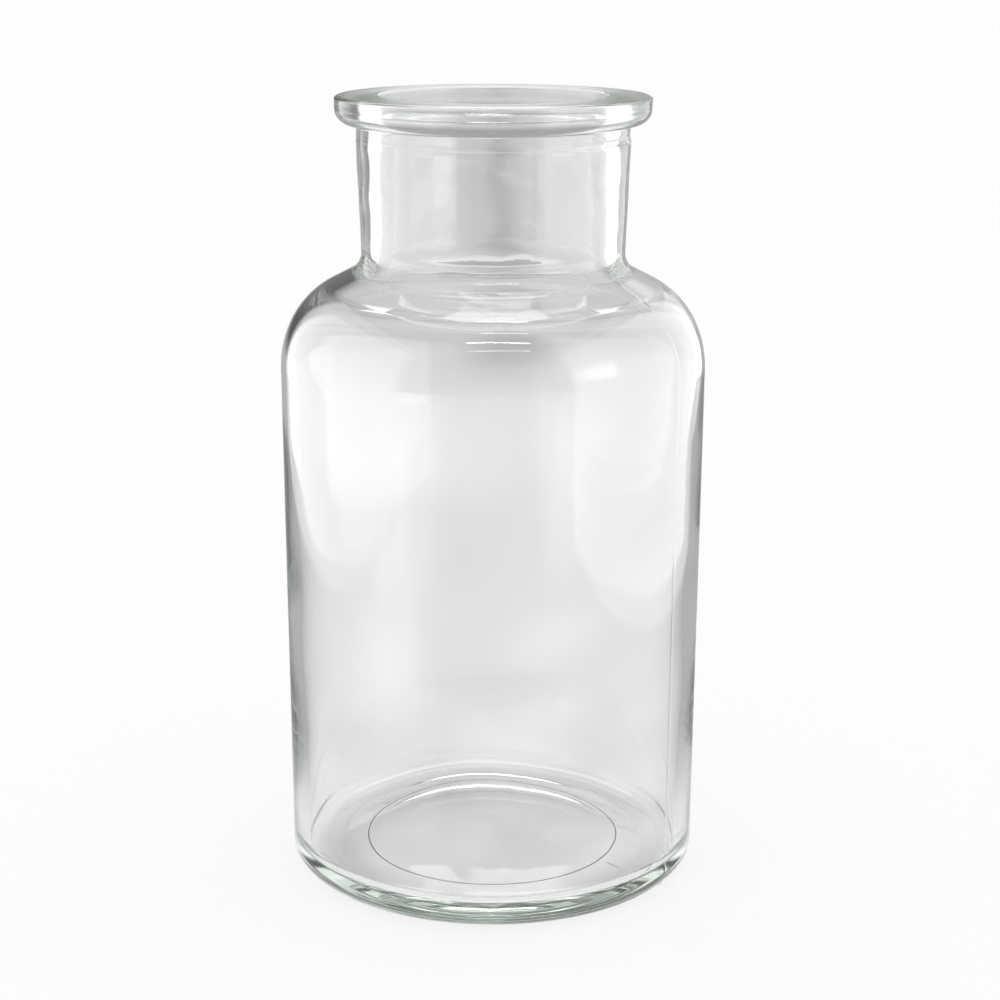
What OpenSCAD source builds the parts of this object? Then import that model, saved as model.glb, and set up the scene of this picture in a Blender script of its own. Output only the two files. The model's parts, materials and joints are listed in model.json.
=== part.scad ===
// Gas jar: a wide-mouthed bottle of clear glass, made in one piece. It stands on its base, and its
// flanged rim is ground flat so that a glass cover plate seals it. Millimetres, +Z up, with the
// origin at the centre of the base.

/* [Overall] */
// Height from the table to the ground rim
height = 135; // [110:1:170]
// Outer diameter of the body, where its side would meet the slope of the shoulder
body_d = 72.6; // [62:0.2:100]
// How much wider the body is at the shoulder than at the heel
body_taper = 1.5; // [0:0.1:4]

/* [Walls] */
// Thickness of the side just below the shoulder
wall = 1.6; // [1:0.1:3.5]
// Thickness of the side just above the heel
heel_wall = 2.7; // [1.5:0.1:5]
// Thickness of the shoulder
shoulder_wall = 2.3; // [1.2:0.1:4]
// Thickness of the glass at the middle of the base
base_wall = 4; // [2:0.1:7]

/* [Heel and base] */
// How far in from the side the outer rounding of the heel reaches
heel_reach = 5; // [2:0.1:8]
// How far up the side the outer rounding of the heel reaches
heel_rise = 4.2; // [2:0.1:8]
// Width of the flat band that the jar stands on
stand_w = 3.4; // [1.5:0.1:5]
// Distance from the flat band in to the ring that the mould's bottom plate leaves under the base
plate_margin = 4.85; // [2:0.05:10]
// Height of that ring above the table
plate_rise = 1.1; // [0.4:0.1:2]
// Height of the small step at that ring
plate_step = 0.15; // [0.05:0.05:0.3]
// Height of the hollow under the middle of the base
push_up = 2.6; // [1.4:0.1:4]
// Height of the floor inside, at its edge
floor_edge = 3.8; // [3:0.1:6]
// Reach of the inner rounding between the side and the floor
floor_round = 3; // [1.5:0.1:5]

/* [Shoulder] */
// Slope of the shoulder
shoulder_slope = 27.2; // [15:0.1:40]
// How far down the side the outer rounding of the shoulder reaches
shoulder_drop = 10.3; // [5:0.1:16]
// How far along the slope the outer rounding of the shoulder reaches
shoulder_reach = 9.2; // [4:0.1:11]
// Reach of the outer rounding between the shoulder and the neck
neck_round = 2.3; // [1:0.1:4]

/* [Neck and mouth] */
// Height of the neck, from the shoulder to the ground rim
neck_h = 28.3; // [20:0.1:40]
// Diameter of the mouth
mouth_d = 38; // [28:0.1:50]
// Thickness of the neck at its foot
neck_wall = 3.25; // [2.5:0.05:5]
// How much wider the neck is at the parting line than at its foot
neck_flare = 1.6; // [0:0.1:2.5]
// Reach of the small rounding between the mouth and the ground rim
mouth_round = 0.5; // [0.2:0.1:1]
// Reach of the inner rounding between the mouth and the shoulder
throat_round = 3.8; // [2:0.1:5]

/* [Rim] */
// How far the flange stands out from the neck
flange_w = 3.5; // [2:0.1:8]
// Height of the flange
flange_h = 4.85; // [3.5:0.05:8]
// How far in the lower rounding of the flange reaches
flange_reach = 3; // [1:0.1:3]
// How far up the lower rounding of the flange reaches
flange_rise = 2.7; // [1:0.1:2.8]
// How far down the upper rounding of the flange reaches
rim_drop = 0.6; // [0.2:0.1:0.7]
// How far in the upper rounding of the flange reaches
rim_reach = 1.1; // [0.3:0.1:2]
// Distance from the flange down to the parting line of the neck ring
parting_drop = 2.5; // [1:0.1:6]
// Step in the neck at that parting line
parting_step = 0.08; // [0.02:0.02:0.2]
// Reach of the small rounding between the neck and the flange
flange_root = 0.4; // [0.2:0.1:0.5]

/* [Hidden] */

body_r = body_d / 2;
heel_r = body_r - body_taper / 2;
stand_r = heel_r - heel_reach - stand_w;
plate_r = stand_r - plate_margin;
mouth_r = mouth_d / 2;
neck_r = mouth_r + neck_wall;
parting_r = neck_r + neck_flare / 2;
flange_r = parting_r + flange_w;

flange_z = height - flange_h;
parting_z = flange_z - parting_drop;
neck_z = height - neck_h;
shoulder_z = neck_z - (body_r - neck_r) * tan(shoulder_slope);
floor_z = push_up + base_wall;

// The inside of the shoulder has the same slope, one wall thickness below the outside
function under_shoulder(r) =
    shoulder_z + (body_r - r) * tan(shoulder_slope) - shoulder_wall / cos(shoulder_slope);

degrees_per_step = 5;
round_fn = 96;

// The half section, as corners before rounding: [radius, height, reach before, reach after]. It runs
// from the middle of the underside out, up the outside, over the rim, and down the inside.
CORNERS = [
    [0, push_up, 0, 0],
    [plate_r / 2, push_up, plate_r / 2, plate_r / 2],
    [plate_r, plate_rise, 0, 0],
    [plate_r, plate_rise - plate_step, 0, 0],
    [stand_r, 0, stand_w / 3, stand_w / 3],
    [heel_r, 0, heel_reach, heel_rise],
    [body_r, shoulder_z, shoulder_drop, shoulder_reach],
    [neck_r, neck_z, neck_round, neck_round],
    [parting_r, parting_z, 0, 0],
    [parting_r - parting_step, parting_z, 0, 0],
    [parting_r - parting_step, flange_z, flange_root, flange_root],
    [flange_r, flange_z, flange_reach, flange_rise],
    [flange_r, height, rim_drop, rim_reach],
    [mouth_r, height, mouth_round, mouth_round],
    [mouth_r, under_shoulder(mouth_r), throat_round, throat_round],
    [body_r - wall, under_shoulder(body_r - wall), shoulder_reach - wall, shoulder_drop - wall],
    [heel_r - heel_wall, floor_edge, floor_round, floor_round],
    [plate_r / 2, floor_z, plate_r / 2, plate_r / 2],
    [0, floor_z, 0, 0],
];

function point(corner) = [corner[0], corner[1]];

// The share of the asked roundings that the side after corner i has room for
function room(corners, i) =
    let (
        asked = corners[i][3] + corners[i + 1][2],
        side = norm(point(corners[i + 1]) - point(corners[i]))
    )
    asked > side ? side / asked : 1;

// An arc from a to c that leaves a and meets c along the lines to the corner b: part of a circle where
// both reaches are the same, and of an ellipse where they differ
function arc(a, b, c) =
    let (
        turn = acos((b - a) * (c - b) / (norm(b - a) * norm(c - b))),
        weight = cos(turn / 2),
        steps = max(2, ceil(turn / degrees_per_step))
    )
    [for (k = [0:steps])
        let (t = k / steps, u = (1 - t) * (1 - t), v = 2 * weight * t * (1 - t), w = t * t)
        (u * a + v * b + w * c) / (u + v + w)];

function rounded(corners, i) =
    let (
        b = point(corners[i]),
        before = point(corners[i - 1]) - b,
        after = point(corners[i + 1]) - b,
        a = b + before / norm(before) * corners[i][2] * room(corners, i - 1),
        c = b + after / norm(after) * corners[i][3] * room(corners, i)
    )
    arc(a, b, c);

function outline(corners) =
    let (last = len(corners) - 1)
    [for (i = [0:last])
        each i > 0 && i < last && corners[i][2] > 0 ? rounded(corners, i) : [point(corners[i])]];

module jar() {
    color("honeydew", 0.4)
        rotate_extrude($fn = round_fn)
            polygon(outline(CORNERS));
}

jar();
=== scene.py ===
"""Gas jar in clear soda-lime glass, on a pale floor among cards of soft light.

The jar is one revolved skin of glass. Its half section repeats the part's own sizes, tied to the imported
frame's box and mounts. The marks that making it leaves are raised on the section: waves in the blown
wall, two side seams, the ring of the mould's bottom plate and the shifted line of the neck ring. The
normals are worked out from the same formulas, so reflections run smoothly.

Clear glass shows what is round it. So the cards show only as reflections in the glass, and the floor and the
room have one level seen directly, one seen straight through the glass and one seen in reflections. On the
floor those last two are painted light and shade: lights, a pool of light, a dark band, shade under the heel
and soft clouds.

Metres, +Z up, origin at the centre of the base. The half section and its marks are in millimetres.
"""

import json
import math

import bpy
import numpy as np
from mathutils import Euler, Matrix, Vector


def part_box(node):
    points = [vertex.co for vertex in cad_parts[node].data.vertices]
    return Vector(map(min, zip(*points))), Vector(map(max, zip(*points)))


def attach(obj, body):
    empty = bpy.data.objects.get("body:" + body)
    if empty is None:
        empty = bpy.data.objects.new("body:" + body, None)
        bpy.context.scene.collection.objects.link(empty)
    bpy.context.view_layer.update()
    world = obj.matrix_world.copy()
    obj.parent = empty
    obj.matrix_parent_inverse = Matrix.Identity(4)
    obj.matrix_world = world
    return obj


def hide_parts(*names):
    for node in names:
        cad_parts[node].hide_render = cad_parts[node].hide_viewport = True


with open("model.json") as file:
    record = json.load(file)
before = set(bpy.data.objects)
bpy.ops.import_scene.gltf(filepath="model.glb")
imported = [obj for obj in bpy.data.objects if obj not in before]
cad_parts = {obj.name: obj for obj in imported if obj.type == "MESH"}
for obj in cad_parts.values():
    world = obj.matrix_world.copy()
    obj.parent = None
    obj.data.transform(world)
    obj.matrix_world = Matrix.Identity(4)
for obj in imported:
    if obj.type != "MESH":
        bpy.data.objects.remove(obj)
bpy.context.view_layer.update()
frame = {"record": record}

MM = 0.001
TAU = 2 * math.pi


# ------------------------------------------------------------ sizes of the half section, in millimetres

mounts = {mount["name"]: mount for mount in frame["record"]["mounts"]}
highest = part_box("jar")[1]

HEIGHT = highest[2] / MM
MOUTH_R = mounts["mouth"]["dims"]["r_mm"]

BODY_R = 36.3
HEEL_R = 35.55
STAND_R = 27.15         # inner edge of the band that the jar stands on
PLATE_R = 22.3          # ring that the mould's bottom plate leaves under the base
NECK_R = MOUTH_R + 3.25
PARTING_R = NECK_R + 0.8
FLANGE_R = PARTING_R + 3.5

FLANGE_Z = HEIGHT - 4.85
PARTING_Z = FLANGE_Z - 2.5
PARTING_STEP = 0.08
NECK_Z = HEIGHT - 28.3
SLOPE = math.radians(27.2)
SHOULDER_Z = NECK_Z - (BODY_R - NECK_R) * math.tan(SLOPE)

WALL = 1.6
HEEL_WALL = 2.7
SHOULDER_WALL = 2.3
PUSH_UP = 2.6
PLATE_RISE = 1.0
FLOOR_EDGE = 3.8
FLOOR_Z = PUSH_UP + 4.0


def under_shoulder(r):
    """Height of the shoulder's inside, before rounding, at radius r."""
    return SHOULDER_Z + (BODY_R - r) * math.tan(SLOPE) - SHOULDER_WALL / math.cos(SLOPE)


# The corners of the half section, from the middle of the underside out, up, over the rim and down the
# inside: [radius, height, reach of the rounding before the corner, reach after it].
CORNERS = [
    [0, PUSH_UP, 0, 0],
    [PLATE_R / 2, PUSH_UP, PLATE_R / 2, PLATE_R / 2],
    [PLATE_R, PLATE_RISE, 0.3, 0.3],
    [STAND_R, 0, 1.1, 1.1],
    [HEEL_R, 0, 5.0, 4.2],
    [BODY_R, SHOULDER_Z, 10.3, 9.2],
    [NECK_R, NECK_Z, 2.3, 2.3],
    [PARTING_R, PARTING_Z, 0.04, 0.04],
    [PARTING_R - PARTING_STEP, PARTING_Z, 0.04, 0.04],
    [PARTING_R - PARTING_STEP, FLANGE_Z, 0.4, 0.4],
    [FLANGE_R, FLANGE_Z, 3.0, 2.7],
    [FLANGE_R, HEIGHT, 0.6, 1.1],
    [MOUTH_R, HEIGHT, 0.5, 0.5],
    [MOUTH_R, under_shoulder(MOUTH_R), 3.8, 3.8],
    [BODY_R - WALL, under_shoulder(BODY_R - WALL), 7.6, 8.7],
    [HEEL_R - HEEL_WALL, FLOOR_EDGE, 3.0, 3.0],
    [PLATE_R / 2, FLOOR_Z, PLATE_R / 2, PLATE_R / 2],
    [0, FLOOR_Z, 0, 0],
]

STRAIGHT_STEP = 1.2     # longest step along a straight side
ARC_DEGREES = 4.0       # largest turn between two points of an arc
ARC_STEPS = 3           # fewest steps of an arc
SAME_POINT = 1e-6       # points nearer than this are one point
COLUMNS = 168           # columns round the jar, before those added at the seams


# ------------------------------------------------------------ half section with its normals

def arc(a, b, c):
    """Points and directions of the conic that leaves a and meets c along the lines to the corner b."""
    turn = math.acos(np.dot(b - a, c - b) / np.linalg.norm(b - a) / np.linalg.norm(c - b))
    weight = math.cos(turn / 2)
    steps = max(ARC_STEPS, math.ceil(math.degrees(turn) / ARC_DEGREES))
    points, along = [], []
    for t in np.linspace(0, 1, steps + 1):
        u, v, w = (1 - t) ** 2, 2 * weight * t * (1 - t), t * t
        du, dv, dw = -2 * (1 - t), 2 * weight * (1 - 2 * t), 2 * t
        total, d_total = u + v + w, du + dv + dw
        point = (u * a + v * b + w * c) / total
        points.append(point)
        along.append((du * a + dv * b + dw * c - point * d_total) / total)
    return points, along


def half_section():
    """The rounded outline: radii, heights, and the radial and upward parts of its outward normals."""
    corner = [np.array(c[:2], float) for c in CORNERS]
    points, along = [corner[0]], [np.array([1.0, 0.0])]

    def straight_to(end):
        start = points[-1]
        steps = math.ceil(np.linalg.norm(end - start) / STRAIGHT_STEP)
        for k in range(1, steps):
            points.append(start + (end - start) * k / steps)
            along.append(end - start)

    for i in range(1, len(corner) - 1):
        b, before, after = corner[i], CORNERS[i][2], CORNERS[i][3]
        back, on = corner[i - 1] - b, corner[i + 1] - b
        a = b + back / np.linalg.norm(back) * before
        c = b + on / np.linalg.norm(on) * after
        straight_to(a)
        arc_points, arc_along = arc(a, b, c)
        first = 1 if np.linalg.norm(points[-1] - arc_points[0]) < SAME_POINT else 0
        points += arc_points[first:]
        along += arc_along[first:]
    straight_to(corner[-1])
    points.append(corner[-1])
    along.append(np.array([-1.0, 0.0]))
    points, along = np.array(points), np.array(along)
    along /= np.linalg.norm(along, axis=1)[:, None]
    return points[:, 0], points[:, 1], along[:, 1], -along[:, 0]


# ------------------------------------------------------------ marks of making it, in millimetres

FRONT = -90.0                         # azimuth of the side that faces the camera, in degrees
SEAM_AT = math.radians(FRONT + 57)    # one side seam; the other is opposite

SEAM_WIDTH = 0.30
SEAM_HEIGHT = 0.022
FIN_HEIGHT = 0.05       # how much higher the seam stands under the heel
FAR_SEAM = 0.25         # height of the seam at the back, as a share of the one at the front
RING_SHIFT = 0.10       # how far to one side of the body's mould the neck ring's stood
PLATE_HEIGHT = 0.008    # ridge at the ring of the bottom plate
PLATE_WIDTH = 0.13
SKIN_DEPTH = 0.018      # how far the body's outside is set in, so that its waves stay within the part's box

UNDER_Z = 2.0           # the fin and the ridge are on the underside, below this height
HEEL_TOP = 6.0          # the outside's own waves start here
BLOWN_FROM = 12.0       # the inside has low rings below this height, and the wall's waves above it


def bump(x, width):
    """1 where x is 0, falling softly to 0 on both sides."""
    return np.exp(-(x / width) ** 2)


def above(x, edge, width):
    """Goes softly from 0 below edge to 1 above it."""
    return 1 / (1 + np.exp(-(x - edge) / width))


def below(x, edge, width):
    """Goes softly from 1 below edge to 0 above it."""
    return above(-x, -edge, width)


def seam_distance(theta, r):
    """Distance along the surface to the nearer of the two side seams."""
    off = np.mod(theta - SEAM_AT + math.pi / 2, math.pi) - math.pi / 2
    return np.sin(off) * r


def side_seams(theta, r, z):
    """Two ridges up the body and neck, with a fin under the heel that ends at the plate's ring."""
    share = FAR_SEAM + (1 - FAR_SEAM) * (np.cos(theta - SEAM_AT) > 0)
    height = SEAM_HEIGHT + FIN_HEIGHT * below(z, UNDER_Z, 0.2)
    on_side = above(r, PLATE_R + 0.4, 0.1) * above(z, 0.2, 0.03) * below(z, PARTING_Z, 0.1)
    return height * share * bump(seam_distance(theta, r), SEAM_WIDTH) * on_side


def neck_ring(theta, z):
    """The rim's outside moved to one side, from the parting line up."""
    on_ring = above(z, PARTING_Z, 0.05) * below(z, HEIGHT - 0.7, 0.1)
    return -RING_SHIFT * (1 + np.cos(theta)) / 2 * on_ring


def plate_ring(theta, r, z):
    """A low uneven ridge round the underside."""
    uneven = 0.8 + 0.2 * np.sin(13 * theta + 3 * np.sin(4 * theta))
    return PLATE_HEIGHT * uneven * bump(r - PLATE_R, PLATE_WIDTH) * below(z, UNDER_Z, 0.05)


def moulded_side(theta, z):
    """Faint waves on the outside of the body."""
    waves = 0.010 * np.sin(4 * theta + 0.09 * z + 2.2) + 0.006 * np.sin(0.42 * z + 2 * np.sin(theta))
    return (waves - SKIN_DEPTH) * above(z, HEEL_TOP, 1.0) * below(z, FLANGE_Z - 4, 1.0)


def chilled_neck(theta, z):
    """The neck's dimpled skin, which chilled against its mould."""
    dimples = (
        0.026 * np.sin(7 * theta + 1.2 * np.sin(0.45 * z) + 0.6)
        + 0.014 * np.sin(15 * theta + 1.5 * np.sin(0.7 * z))
        + 0.007 * np.sin(0.9 * z + 4.0 * np.sin(2 * theta + 1.0))
    )
    return dimples * above(z, NECK_Z + 1.5, 0.5) * below(z, PARTING_Z, 0.1)


def blown_wall(theta, z):
    """Long waves that blowing leaves on the free inner surface."""
    waves = (
        0.050 * np.sin(2 * theta + 0.05 * z + 0.4)
        + 0.030 * np.sin(3 * theta - 0.11 * z + 1.9)
        + 0.022 * np.sin(5 * theta + 0.17 * z + 0.8)
        + 0.012 * np.sin(9 * theta - 0.23 * z + 2.6)
        + 0.018 * np.sin(0.31 * z + 1.3 * np.sin(theta + 0.5))
    )
    return waves * above(z, BLOWN_FROM, 2.0) * below(z, NECK_Z - 2, 1.5)


def blown_floor(theta, r, z):
    """Low rings on the floor inside, which fade out at its middle."""
    rings = 0.02 * np.sin(0.35 * r + 1.5 * np.sin(theta))
    return rings * np.clip(r / 8, 0, 1) * below(z, BLOWN_FROM, 2.0)


def relief(theta, r, z, outside):
    """How far the surface stands out from the half section: arrays of one shape, outside 1 or 0."""
    on_outside = (
        side_seams(theta, r, z)
        + neck_ring(theta, z)
        + plate_ring(theta, r, z)
        + moulded_side(theta, z)
        + chilled_neck(theta, z)
    )
    on_inside = blown_wall(theta, z) + blown_floor(theta, r, z)
    return on_outside * outside + on_inside * (1 - outside)


# Columns beside a seam, by their distance from its middle. Even columns nearer than SEAM_CLEAR are left out.
SEAM_COLUMNS = [-0.9, -0.6, -0.4, -0.27, -0.14, 0, 0.14, 0.27, 0.4, 0.6, 0.9]
SEAM_CLEAR = 1.3


def columns():
    """Azimuths of the columns, closer together across the side seams."""
    even = np.arange(COLUMNS) * TAU / COLUMNS
    seams = [SEAM_AT, SEAM_AT + math.pi]
    near = np.concatenate([np.mod(at + np.array(SEAM_COLUMNS) / BODY_R, TAU) for at in seams])
    gap = np.min([np.abs(np.mod(even - at + math.pi, TAU) - math.pi) for at in seams], axis=0)
    return np.sort(np.concatenate([even[gap > SEAM_CLEAR / BODY_R], near]))


# ------------------------------------------------------------ the jar

SMALL = 1e-4            # step for the slopes of the relief, in millimetres and in radians


def surface():
    """Places, in metres, and unit normals of the skin, in a row for each point of the half section."""
    r0, z0, nr0, nz0 = half_section()
    top = int(np.argmax(z0 >= HEIGHT - SAME_POINT))
    is_outside = (np.arange(len(r0)) <= top).astype(float)
    theta, row = np.meshgrid(columns(), np.arange(1, len(r0) - 1))
    r, z, outside = r0[row], z0[row], is_outside[row]
    n_r, n_z = nr0[row], nz0[row]
    t_r, t_z = -n_z, n_r

    def height(turn, move):
        return relief(theta + turn, r + t_r * move, z + t_z * move, outside)

    lift = height(0, 0)
    slope_along = (height(0, SMALL) - height(0, -SMALL)) / (2 * SMALL)
    slope_round = (height(SMALL, 0) - height(-SMALL, 0)) / (2 * SMALL) / r
    radius = r + lift * n_r
    m_r, m_z, m_t = n_r - slope_along * t_r, n_z - slope_along * t_z, -slope_round
    cos, sin = np.cos(theta), np.sin(theta)
    places = np.stack([radius * cos, radius * sin, z + lift * n_z], -1) * MM
    normals = np.stack([m_r * cos - m_t * sin, m_r * sin + m_t * cos, m_z], -1)
    return places, normals / np.linalg.norm(normals, axis=-1)[..., None]


def skin_faces(rows, cols):
    """Quads between the rows, and a fan of triangles at the middle of the underside and of the floor."""
    faces = []
    for i in range(rows - 1):
        for j in range(cols):
            k = (j + 1) % cols
            faces.append((i * cols + j, i * cols + k, (i + 1) * cols + k, (i + 1) * cols + j))
    underside, floor = rows * cols, rows * cols + 1
    for j in range(cols):
        k = (j + 1) % cols
        faces.append((underside, k, j))
        faces.append((floor, (rows - 1) * cols + j, (rows - 1) * cols + k))
    return faces


def make_jar():
    places, normals = surface()
    rows, cols = places.shape[:2]
    verts = np.concatenate([places.reshape(-1, 3), [[0, 0, PUSH_UP * MM], [0, 0, FLOOR_Z * MM]]])
    vert_normals = np.concatenate([normals.reshape(-1, 3), [[0, 0, -1], [0, 0, 1]]])

    mesh = bpy.data.meshes.new("gas_jar")
    mesh.from_pydata(verts.tolist(), [], skin_faces(rows, cols))
    mesh.update()
    mesh.polygons.foreach_set("use_smooth", [True] * len(mesh.polygons))
    mesh.normals_split_custom_set_from_vertices(vert_normals.tolist())
    jar = bpy.data.objects.new("gas_jar", mesh)
    bpy.context.collection.objects.link(jar)
    return jar


# ------------------------------------------------------------ nodes

WHITE = (1, 1, 1, 1)


class Nodes:
    """A short way to add nodes and join them. An input is a number, a colour or another node's socket."""

    def __init__(self, tree):
        self.tree = tree

    def add(self, kind, inputs=(), **settings):
        node = self.tree.nodes.new(kind)
        for name, value in settings.items():
            setattr(node, name, value)
        for key, value in dict(inputs).items():
            if isinstance(value, bpy.types.NodeSocket):
                self.tree.links.new(value, node.inputs[key])
            else:
                node.inputs[key].default_value = value
        return node

    def math(self, operation, a, b=0.0, c=0.0):
        return self.add("ShaderNodeMath", {0: a, 1: b, 2: c}, operation=operation).outputs[0]

    def product(self, *factors):
        result = factors[0]
        for factor in factors[1:]:
            result = self.math("MULTIPLY", result, factor)
        return result

    def map(self, value, low, high, at_low, at_high):
        """Goes smoothly from at_low to at_high as value goes from low to high."""
        inputs = {"Value": value, "From Min": low, "From Max": high, "To Min": at_low, "To Max": at_high}
        return self.add("ShaderNodeMapRange", inputs, interpolation_type="SMOOTHSTEP").outputs["Result"]

    def mix(self, factor, a, b):
        return self.add("ShaderNodeMix", {"Factor": factor, "A": a, "B": b}).outputs["Result"]

    def coordinates(self, kind, output):
        """The X, Y and Z of one output of a new node that gives coordinates."""
        return self.add("ShaderNodeSeparateXYZ", {0: self.add(kind).outputs[output]}).outputs

    def light_path(self, output):
        return self.add("ShaderNodeLightPath").outputs[output]

    def reflected(self):
        """1 for light that the glass has reflected at least once, 0 for light straight through it."""
        return self.math("GREATER_THAN", self.light_path("Glossy Depth"), 0.5)

    def glow(self, strength):
        return self.add("ShaderNodeEmission", {"Color": WHITE, "Strength": strength}).outputs[0]


def new_material(name):
    material = bpy.data.materials.new(name)
    material.use_nodes = True
    material.node_tree.nodes.clear()
    return material, Nodes(material.node_tree)


# ------------------------------------------------------------ glass

IOR = 1.52
TINT = (0.30, 0.41, 0.32, 1)    # faint green, which shows where light goes a long way in the glass
TINT_DENSITY = 11.0

GROUND_ROUGHNESS = 0.40         # the top of the rim, ground to a fine matt
GROUND_DEPTH = 0.03             # how far below the top the grinding reaches, in millimetres
FLANGE_ROUGHNESS = 0.08         # the flange, dulled by its mould
GRAIN_SCALE = 3500.0            # of the ground top, per metre
GRAIN_HEIGHT = 0.03             # in millimetres

RIPPLE_SCALE = 260.0            # per metre
RIPPLE_HEIGHT = 0.02            # in millimetres
BODY_RIPPLE = 0.12              # share of that height on the body
NECK_RIPPLE = 0.6               # what the neck adds to that share, where the glass met a cooler mould


def glass_material():
    material, nodes = new_material("clear_glass")
    place = nodes.add("ShaderNodeTexCoord").outputs["Object"]
    height = nodes.add("ShaderNodeSeparateXYZ", {0: place}).outputs["Z"]
    ground = nodes.math("GREATER_THAN", height, (HEIGHT - GROUND_DEPTH) * MM)
    flange = nodes.math("GREATER_THAN", height, (FLANGE_Z + 0.2) * MM)
    neck = nodes.math("GREATER_THAN", height, NECK_Z * MM)
    ground_roughness = nodes.math("MULTIPLY", ground, GROUND_ROUGHNESS)
    flange_roughness = nodes.math("MULTIPLY", flange, FLANGE_ROUGHNESS)

    grain = nodes.add("ShaderNodeTexNoise", {"Vector": place, "Scale": GRAIN_SCALE, "Detail": 3.0})
    ripple = nodes.add(
        "ShaderNodeTexNoise",
        {"Vector": place, "Scale": RIPPLE_SCALE, "Detail": 3.0, "Roughness": 0.5},
    )
    depth = nodes.math("MULTIPLY_ADD", neck, NECK_RIPPLE, BODY_RIPPLE)
    waves = nodes.add(
        "ShaderNodeBump",
        {
            "Height": nodes.math("MULTIPLY", ripple.outputs["Fac"], depth),
            "Strength": 1.0,
            "Distance": RIPPLE_HEIGHT * MM,
        },
    )
    grit = nodes.add(
        "ShaderNodeBump",
        {
            "Height": nodes.math("MULTIPLY", grain.outputs["Fac"], ground),
            "Strength": 1.0,
            "Distance": GRAIN_HEIGHT * MM,
            "Normal": waves.outputs["Normal"],
        },
    )
    glass = nodes.add(
        "ShaderNodeBsdfPrincipled",
        {
            "Base Color": WHITE,
            "Roughness": nodes.math("ADD", ground_roughness, flange_roughness),
            "IOR": IOR,
            "Transmission Weight": 1.0,
            "Normal": grit.outputs["Normal"],
        },
    )
    tint = nodes.add("ShaderNodeVolumeAbsorption", {"Color": TINT, "Density": TINT_DENSITY})
    nodes.add("ShaderNodeOutputMaterial", {"Surface": glass.outputs[0], "Volume": tint.outputs[0]})
    return material


# ------------------------------------------------------------ floor and room, in metres

FLOOR_R = 12.0
FLOOR_DROP = 0.02 * MM      # the floor lies this far under the jar, so that they don't share a plane

DIRECT = 1.0                # the floor, with what it scatters, and the room, seen directly
FLOOR_SCATTER = 0.20        # the share of the light on it that the floor scatters, however it is seen

# Levels of what is seen straight through the glass, painted on the floor as shade that makes it greyer than
# seen directly. The floor's come on top of what it scatters, so at the horizon the room has THROUGH_FAR and
# FLOOR_SCATTER together.
THROUGH_NEAR = 0.69         # the floor near the jar
THROUGH_FAR = 0.46          # the floor far behind it
THROUGH_UP = 0.36           # the room, high up

# Levels of what is seen in reflections. The floor's come on top of what it scatters.
FLOOR_REFLECTED = 0.28
POOL_REFLECTED = 0.50       # what a painted pool of light round the foot of the jar adds to that
ROOM_LOW = 0.18             # the room, low down
ROOM_HIGH = 0.55            # the room, high up

# Distances from the jar's axis between which the floor changes
FLOOR_FAR = (0.16, 0.80)    # from its near level to its far one
LIGHTS_START = (0.03, 0.26)
POOL_END = (0.03, 0.09)
HEEL_START = (0.021, 0.027)
HEEL_END = (0.034, 0.045)

# Upward parts of a direction between which the room changes from its low level to its high one
UP_THROUGH = (0.05, 0.35)
UP_REFLECTED = (0.15, 0.6)

# Soft lobes of painted light (FLOOR_LIGHTS) and painted shade (HEEL_SHADES) on the floor round the jar's
# axis: (azimuth from the front in degrees, half width in degrees, height)
FLOOR_LIGHTS = [(-50, 34, 1.2), (42, 22, 0.10)]
HEEL_SHADES = [(-58, 50, 0.42), (0, 40, 0.20), (55, 45, 0.38)]

# Soft clouds of painted light and shade on the floor, seen only in the glass, which grow with the distance
CLOUD_SCALE = 4.5
CLOUD_NEAREST = 0.08        # added to the distance, so that they stay a fair size near the jar
CLOUD_STRETCH = 0.35
CLOUD_RANGE = (0.3, 0.7)    # the noise between which they go from dark to light

# Painted shade: a dark band on the floor behind the jar, seen only through the glass
DARK_BAND_X = 0.012
DARK_BAND_SIDES = (0.005, 0.045)
DARK_BAND_START = (0.32, 0.60)
DARK_BAND_DEPTH = 0.38
DARK_BAND_END = (0.6, 1.4)
DARK_BAND_REST = 0.6          # the share of its depth that is left beyond its end

# Seen directly, the floor and the room are darker to the jar's left and right, so that the pale edges of
# the glass stand out from there. The shade grows as the share of the way to the side goes through SIDES.
SIDE_SHADE = 0.20
SIDES = (0.22, 0.45)
SIDE_START = 0.4            # added to the distance on the floor, which keeps the shade away from the jar


def lobes(nodes, turn, lobe_list):
    """The sum of soft lobes round the jar's axis, at the azimuth turn."""
    total = 0.0
    for centre, half_width, height in lobe_list:
        off = nodes.math("PINGPONG", nodes.math("SUBTRACT", turn, math.radians(centre)), math.pi)
        total = nodes.math("ADD", total, nodes.map(off, 0.0, math.radians(half_width), height, 0.0))
    return total


def side_shade(nodes, across, reach):
    """0 before and behind the jar, and SIDE_SHADE at its left and right, where across nears reach."""
    share = nodes.math("DIVIDE", nodes.math("ABSOLUTE", across), reach)
    return nodes.map(share, *SIDES, 0.0, SIDE_SHADE)


def floor_clouds(nodes, place, distance):
    far = nodes.math("ADD", distance, CLOUD_NEAREST)
    inputs = {
        "X": nodes.math("DIVIDE", place["X"], far),
        "Y": nodes.math("DIVIDE", place["Y"], far),
        "Z": nodes.math("MULTIPLY", nodes.math("LOGARITHM", far, math.e), CLOUD_STRETCH),
    }
    ring = nodes.add("ShaderNodeCombineXYZ", inputs).outputs[0]
    noise = nodes.add("ShaderNodeTexNoise", {"Vector": ring, "Scale": CLOUD_SCALE, "Detail": 1.0})
    return noise.outputs["Fac"]


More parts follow.
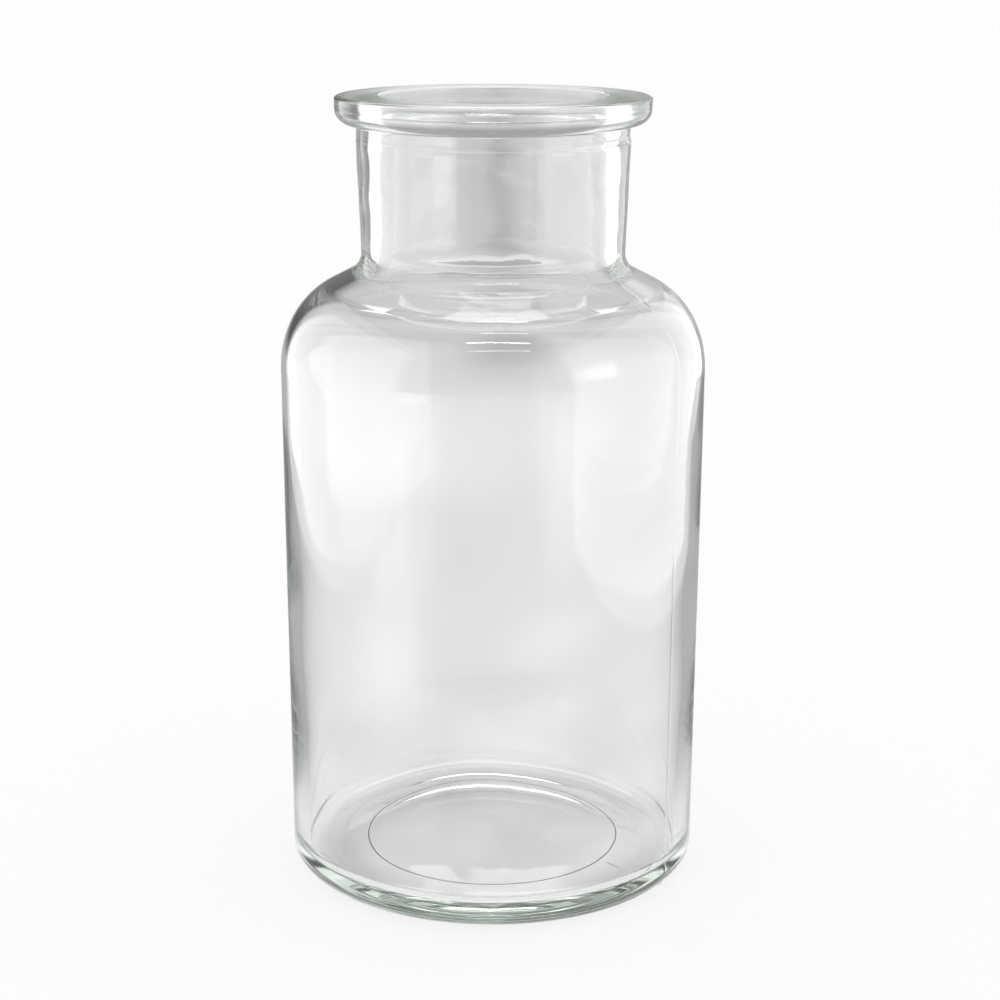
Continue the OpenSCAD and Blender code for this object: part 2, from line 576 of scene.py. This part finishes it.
def floor_reflected(nodes, turn, distance, clouds):
    """The floor in reflections: painted lights at two azimuths, and a painted pool of light round the foot.
    """
    # Painted light on the floor: bright lobes at two azimuths, seen only in reflections
    lights = nodes.product(
        lobes(nodes, turn, FLOOR_LIGHTS),
        nodes.map(clouds, *CLOUD_RANGE, 0.6, 1.4),
        nodes.map(distance, *LIGHTS_START, 0.0, 1.0),
    )
    # Painted pool of light round the foot, seen only in reflections
    pool = nodes.map(distance, *POOL_END, POOL_REFLECTED + FLOOR_REFLECTED, FLOOR_REFLECTED)
    return nodes.math("ADD", lights, pool)


def floor_through(nodes, place, turn, distance, clouds):
    """The floor straight through the glass, with painted shade: darker far off, in a dark band behind the
    jar and under the heel.
    """
    beside = nodes.math("ABSOLUTE", nodes.math("SUBTRACT", place["X"], DARK_BAND_X))
    # Painted shade: a dark band on the floor behind the jar, seen only through the glass
    painted_dark_band = nodes.product(
        nodes.map(place["Y"], *DARK_BAND_START, 0.0, DARK_BAND_DEPTH),
        nodes.map(place["Y"], *DARK_BAND_END, 1.0, DARK_BAND_REST),
        nodes.map(beside, *DARK_BAND_SIDES, 1.0, 0.0),
    )
    # Painted shade on the floor under the heel, in soft lobes, seen only through the glass
    under_heel = nodes.product(
        nodes.map(distance, *HEEL_START, 0.0, 1.0),
        nodes.map(distance, *HEEL_END, 1.0, 0.0),
        lobes(nodes, turn, HEEL_SHADES),
    )
    return nodes.product(
        nodes.map(distance, *FLOOR_FAR, THROUGH_NEAR, THROUGH_FAR),
        nodes.math("SUBTRACT", 1.0, painted_dark_band),
        nodes.map(clouds, *CLOUD_RANGE, 0.90, 1.09),
        nodes.math("SUBTRACT", 1.0, under_heel),
    )


def floor_material():
    material, nodes = new_material("pale_floor")
    place = nodes.coordinates("ShaderNodeNewGeometry", "Position")
    turn = nodes.math("ARCTAN2", place["X"], nodes.math("MULTIPLY", place["Y"], -1.0))
    x_squared = nodes.math("POWER", place["X"], 2.0)
    y_squared = nodes.math("POWER", place["Y"], 2.0)
    distance = nodes.math("SQRT", nodes.math("ADD", x_squared, y_squared))
    clouds = floor_clouds(nodes, place, distance)

    through = floor_through(nodes, place, turn, distance, clouds)
    mirrored = floor_reflected(nodes, turn, distance, clouds)
    in_glass = nodes.mix(nodes.reflected(), through, mirrored)
    shade = side_shade(nodes, place["X"], nodes.math("ADD", distance, SIDE_START))
    direct = nodes.math("SUBTRACT", DIRECT - FLOOR_SCATTER, shade)
    level = nodes.mix(nodes.light_path("Is Camera Ray"), in_glass, direct)

    grey = (FLOOR_SCATTER, FLOOR_SCATTER, FLOOR_SCATTER, 1)
    matt = nodes.add("ShaderNodeBsdfDiffuse", {"Color": grey}).outputs[0]
    both = nodes.add("ShaderNodeAddShader", {0: matt, 1: nodes.glow(level)})
    nodes.add("ShaderNodeOutputMaterial", {"Surface": both.outputs[0]})
    material.cycles.emission_sampling = "NONE"
    return material


def make_floor():
    bpy.ops.mesh.primitive_circle_add(
        vertices=96, radius=FLOOR_R, fill_type="NGON", location=(0, 0, -FLOOR_DROP)
    )
    floor = bpy.context.object
    floor.name = "floor"
    floor.data.materials.append(floor_material())


def make_world():
    world = bpy.data.worlds.new("studio")
    bpy.context.scene.world = world
    world.use_nodes = True
    world.node_tree.nodes.clear()
    nodes = Nodes(world.node_tree)
    towards = nodes.coordinates("ShaderNodeTexCoord", "Generated")
    through = nodes.map(towards["Z"], *UP_THROUGH, THROUGH_FAR + FLOOR_SCATTER, THROUGH_UP)
    mirrored = nodes.map(towards["Z"], *UP_REFLECTED, ROOM_LOW, ROOM_HIGH)
    in_glass = nodes.mix(nodes.reflected(), through, mirrored)

    # The room lights the floor at its direct level too, but only what the camera sees is shaded
    seen = nodes.light_path("Is Camera Ray")
    lights_floor = nodes.math("GREATER_THAN", nodes.light_path("Diffuse Depth"), 0.5)
    shade = nodes.math("MULTIPLY", side_shade(nodes, towards["X"], 1.0), seen)
    direct = nodes.math("SUBTRACT", DIRECT, shade)
    level = nodes.mix(nodes.math("MAXIMUM", seen, lights_floor), in_glass, direct)
    back = nodes.add("ShaderNodeBackground", {"Color": WHITE, "Strength": level})
    nodes.add("ShaderNodeOutputWorld", {"Surface": back.outputs[0]})


# ------------------------------------------------------------ cards, in metres

# Ten soft lights and one dark flag that show only as reflections in the glass: (name, place, direction
# it faces, width and height, level, shares of its half width and half height over which it fades out)
CARDS = [
    ("left_panel", (-0.20, 0.04, 0.155), (1, 0, 0), (0.50, 0.31), 1.5, (0.25, 0.04)),
    ("right_panel", (0.17, -0.03, 0.155), (-1, 0, 0), (0.36, 0.31), 1.45, (0.16, 0.03)),
    ("right_rear_panel", (0.165, 0.17, 0.17), (-1, 0, 0), (0.23, 0.28), 1.5, (0.30, 0.04)),
    ("top_left_panel", (-0.10, 0.358, 0.57), (0.10, -0.358, -0.47), (0.13, 0.40), 3.8, (0.3, 0.15)),
    ("top_right_panel", (0.05, 0.358, 0.57), (-0.05, -0.358, -0.47), (0.26, 0.40), 3.6, (0.3, 0.15)),
    ("left_flag", (-0.45, 0.75, 0.25), (0.45, -0.75, 0), (0.60, 0.60), 0.10, (0.5, 0.5)),
    ("right_back_panel", (0.33, 0.75, 0.32), (-0.33, -0.75, 0), (0.35, 0.50), 1.1, (0.5, 0.5)),
    ("low_back_panel", (0.10, 0.62, 0.20), (0, -1, 0), (0.34, 0.36), 0.55, (0.5, 0.5)),
    ("right_lamp", (0.16, -0.095, 0.142), (-1, 0.6, 0), (0.16, 0.065), 3.0, (0.7, 0.7)),
    ("strip_overhead", (0.05, 0.0, 1.10), (0, 0, -1), (0.30, 0.03), 24.0, (0.1, 0.5)),
    ("strip_in_front", (0.045, -0.55, 1.0), (0, 0.55, -0.9), (0.54, 0.03), 26.0, (0.1, 0.5)),
]


def card_material(name, level, soft):
    material, nodes = new_material(name)
    across = nodes.coordinates("ShaderNodeTexCoord", "Object")
    fades = [nodes.map(nodes.math("ABSOLUTE", across[i]), 1 - soft[i], 1.0, 1.0, 0.0) for i in (0, 1)]
    cover = nodes.product(*fades, nodes.reflected())
    clear = nodes.add("ShaderNodeBsdfTransparent").outputs[0]
    mixed = nodes.add("ShaderNodeMixShader", {0: cover, 1: clear, 2: nodes.glow(level)})
    nodes.add("ShaderNodeOutputMaterial", {"Surface": mixed.outputs[0]})
    material.cycles.emission_sampling = "NONE"
    return material


def make_card(name, place, face, size, level, soft):
    bpy.ops.mesh.primitive_plane_add(size=2, location=place)
    card = bpy.context.object
    card.name = name
    card.scale = (size[0] / 2, size[1] / 2, 1)
    card.rotation_euler = Vector(face).to_track_quat("Z", "Y").to_euler()
    card.data.materials.append(card_material(name, level, soft))
    card.visible_camera = False
    card.visible_diffuse = False
    card.visible_shadow = False


# ------------------------------------------------------------ camera

CAMERA_BACK = 0.380      # metres in front of the jar's axis
CAMERA_UP = 0.1631       # metres above the floor
CAMERA_DOWN = 14.43      # degrees below the horizon
CAMERA_TURN = 0.19       # degrees, so that the jar stands a little left of the middle
CAMERA_ROLL = 0.16       # degrees
CAMERA_NEAREST = 0.01    # metres
LENS = 81.13             # millimetres, with the sensor
SENSOR = 36.0


def make_camera():
    camera = bpy.data.cameras.new("camera")
    camera.lens = LENS
    camera.sensor_width = SENSOR
    camera.clip_start = CAMERA_NEAREST
    holder = bpy.data.objects.new("camera", camera)
    holder.location = (0, -CAMERA_BACK, CAMERA_UP)
    aim = Euler((math.radians(90 - CAMERA_DOWN), 0, math.radians(-CAMERA_TURN))).to_matrix()
    roll = Euler((0, 0, math.radians(CAMERA_ROLL))).to_matrix()
    holder.rotation_euler = (aim @ roll).to_euler()
    bpy.context.collection.objects.link(holder)
    bpy.context.scene.camera = holder


# ------------------------------------------------------------ scene

BOUNCES = 64             # the heel needs many, or it shows black where light is reflected inside it

jar = make_jar()
jar.data.materials.append(glass_material())
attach(jar, "root")
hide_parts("jar")

make_floor()
make_world()
for card in CARDS:
    make_card(*card)
make_camera()

scene = bpy.context.scene
scene.view_settings.view_transform = "Standard"
scene.cycles.max_bounces = BOUNCES
scene.cycles.transmission_bounces = BOUNCES
scene.cycles.glossy_bounces = BOUNCES
